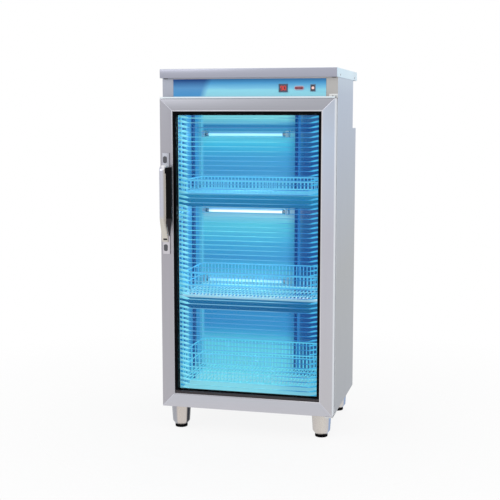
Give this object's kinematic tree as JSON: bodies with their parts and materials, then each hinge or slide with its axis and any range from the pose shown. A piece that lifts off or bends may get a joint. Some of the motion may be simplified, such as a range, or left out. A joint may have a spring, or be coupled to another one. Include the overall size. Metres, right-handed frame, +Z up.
{
  "type": "dish sterilizer cabinet",
  "caption": "Upright stainless dish sterilizer cabinet: hinged glass door with wire guard and pull handle, control strip, wire baskets on runners, germicidal lamps, levelling feet",
  "frame": {"origin": "on the floor, under the middle of the whole object's width and depth", "axes": "+Z up the cabinet's height, -Y out through the door, +X to the hinge side"},
  "size_m": [0.602, 0.498, 1.235],
  "materials": {
    "cover_steel": "satin",
    "side_steel": "satin",
    "frame_steel": "satin",
    "control_film": "gloss",
    "display_bezel": "matte",
    "display_window": "gloss",
    "oval_bezel": "matte",
    "oval_cap": "gloss",
    "rocker_bezel": "matte",
    "rocker_key": "gloss",
    "liner_steel": "satin",
    "liner_back_steel": "satin",
    "insulation": "fibrous",
    "upright_steel": "satin",
    "beam_steel": "satin",
    "basket_wire": "bright",
    "lamp_glass": "clear",
    "lamp_cap": "satin",
    "lamp_holder": "matte",
    "reflector": "bright",
    "ballast": "satin",
    "board": "matte",
    "transformer": "matte",
    "terminal": "matte",
    "fan_case": "matte",
    "fan_wheel": "matte",
    "gland": "matte",
    "door_stile_steel": "satin",
    "door_rail_steel": "satin",
    "gasket": "matte",
    "door_glass": "clear",
    "inner_frame_steel": "satin",
    "bead": "matte",
    "seal": "matte",
    "guard_wire": "bright",
    "hinge_steel": "bright",
    "bush": "matte",
    "handle_plate": "bright",
    "handle_shell": "bright",
    "handle_grip": "satin",
    "screw_dark": "satin",
    "screw_bright": "bright",
    "sleeve_steel": "satin",
    "foot_rubber": "matte"
  },
  "bodies": {
    "cabinet": {"top_cover": "cover_steel", "side_panel_left": "side_steel", "side_panel_right": "side_steel", "back_panel": "side_steel", "recess_panel": "side_steel", "base_pan": "frame_steel", "head_rail": "frame_steel", "control_fascia": "frame_steel", "control_film": "control_film", "display_bezel": "display_bezel", "display_window": "display_window", "oval_switch_bezel": "oval_bezel", "power_rocker_bezel": "rocker_bezel", "liner_sides": "liner_steel", "liner_back": "liner_back_steel", "liner_floor": "liner_steel", "chamber_deck": "liner_steel", "insulation_pads": "insulation", "shelf_uprights": "upright_steel", "shelf_runners": "upright_steel", "front_beams": "beam_steel", "lamp_tubes": "lamp_glass", "lamp_caps": "lamp_cap", "lamp_holders": "lamp_holder", "lamp_reflectors": "reflector", "lamp_ballasts": "ballast", "control_board": "board", "transformer": "transformer", "terminal_block": "terminal", "fan_frame": "fan_case", "cable_gland": "gland", "hinge_brackets": "hinge_steel", "cover_screws": "screw_bright", "foot_sleeves": "sleeve_steel"},
    "door": {"door_stiles": "door_stile_steel", "door_rails": "door_rail_steel", "glazing_gasket": "gasket", "door_glass": "door_glass", "door_inner_frame": "inner_frame_steel", "glazing_bead": "bead", "magnetic_seal": "seal", "door_guard": "guard_wire", "hinge_bushes": "bush", "handle_plate": "handle_plate", "handle_shell": "handle_shell", "handle_grip": "handle_grip", "handle_screws": "screw_dark"},
    "rocker": {"power_rocker_key": "rocker_key"},
    "lamp_button": {"oval_switch_cap": "oval_cap"},
    "fan": {"fan_rotor": "fan_wheel"},
    "top_basket": {"basket_top": "basket_wire"},
    "middle_basket": {"basket_middle": "basket_wire"},
    "bottom_basket": {"basket_bottom": "basket_wire"},
    "front_left_foot": {"foot_front_left": "foot_rubber"},
    "front_right_foot": {"foot_front_right": "foot_rubber"},
    "rear_left_foot": {"foot_rear_left": "foot_rubber"},
    "rear_right_foot": {"foot_rear_right": "foot_rubber"}
  },
  "joints": [
    {"name": "door_swing", "type": "hinge", "parent": "cabinet", "child": "door", "pos_m": [0.286, -0.183, 0.6115], "axis": [0, 0, 1], "range_deg": [0, 110]},
    {"name": "power_rocker_tip", "type": "hinge", "parent": "cabinet", "child": "rocker", "pos_m": [0.2162, -0.1609, 1.1705], "axis": [1, 0, 0], "range_deg": [-7, 7]},
    {"name": "lamp_button_push", "type": "slide", "parent": "cabinet", "child": "lamp_button", "axis": [0, 1, 0], "range_m": [0, 0.0025], "stiffness_N_per_m": 200, "springref_m": -0.001},
    {"name": "fan_spin", "type": "hinge", "parent": "cabinet", "child": "fan", "pos_m": [0, 0.003, 1.12], "axis": [0, 0, 1], "continuous": true},
    {"name": "top_basket_lift", "type": "slide", "parent": "cabinet", "child": "top_basket", "axis": [0, 0, 1], "range_m": [0, 0.03]},
    {"name": "middle_basket_lift", "type": "slide", "parent": "cabinet", "child": "middle_basket", "axis": [0, 0, 1], "range_m": [0, 0.03]},
    {"name": "bottom_basket_lift", "type": "slide", "parent": "cabinet", "child": "bottom_basket", "axis": [0, 0, 1], "range_m": [0, 0.03]},
    {"name": "front_left_foot_level", "type": "slide", "parent": "cabinet", "child": "front_left_foot", "axis": [0, 0, -1], "range_m": [0, 0.015]},
    {"name": "front_right_foot_level", "type": "slide", "parent": "cabinet", "child": "front_right_foot", "axis": [0, 0, -1], "range_m": [0, 0.015]},
    {"name": "rear_left_foot_level", "type": "slide", "parent": "cabinet", "child": "rear_left_foot", "axis": [0, 0, -1], "range_m": [0, 0.015]},
    {"name": "rear_right_foot_level", "type": "slide", "parent": "cabinet", "child": "rear_right_foot", "axis": [0, 0, -1], "range_m": [0, 0.015]}
  ]
}
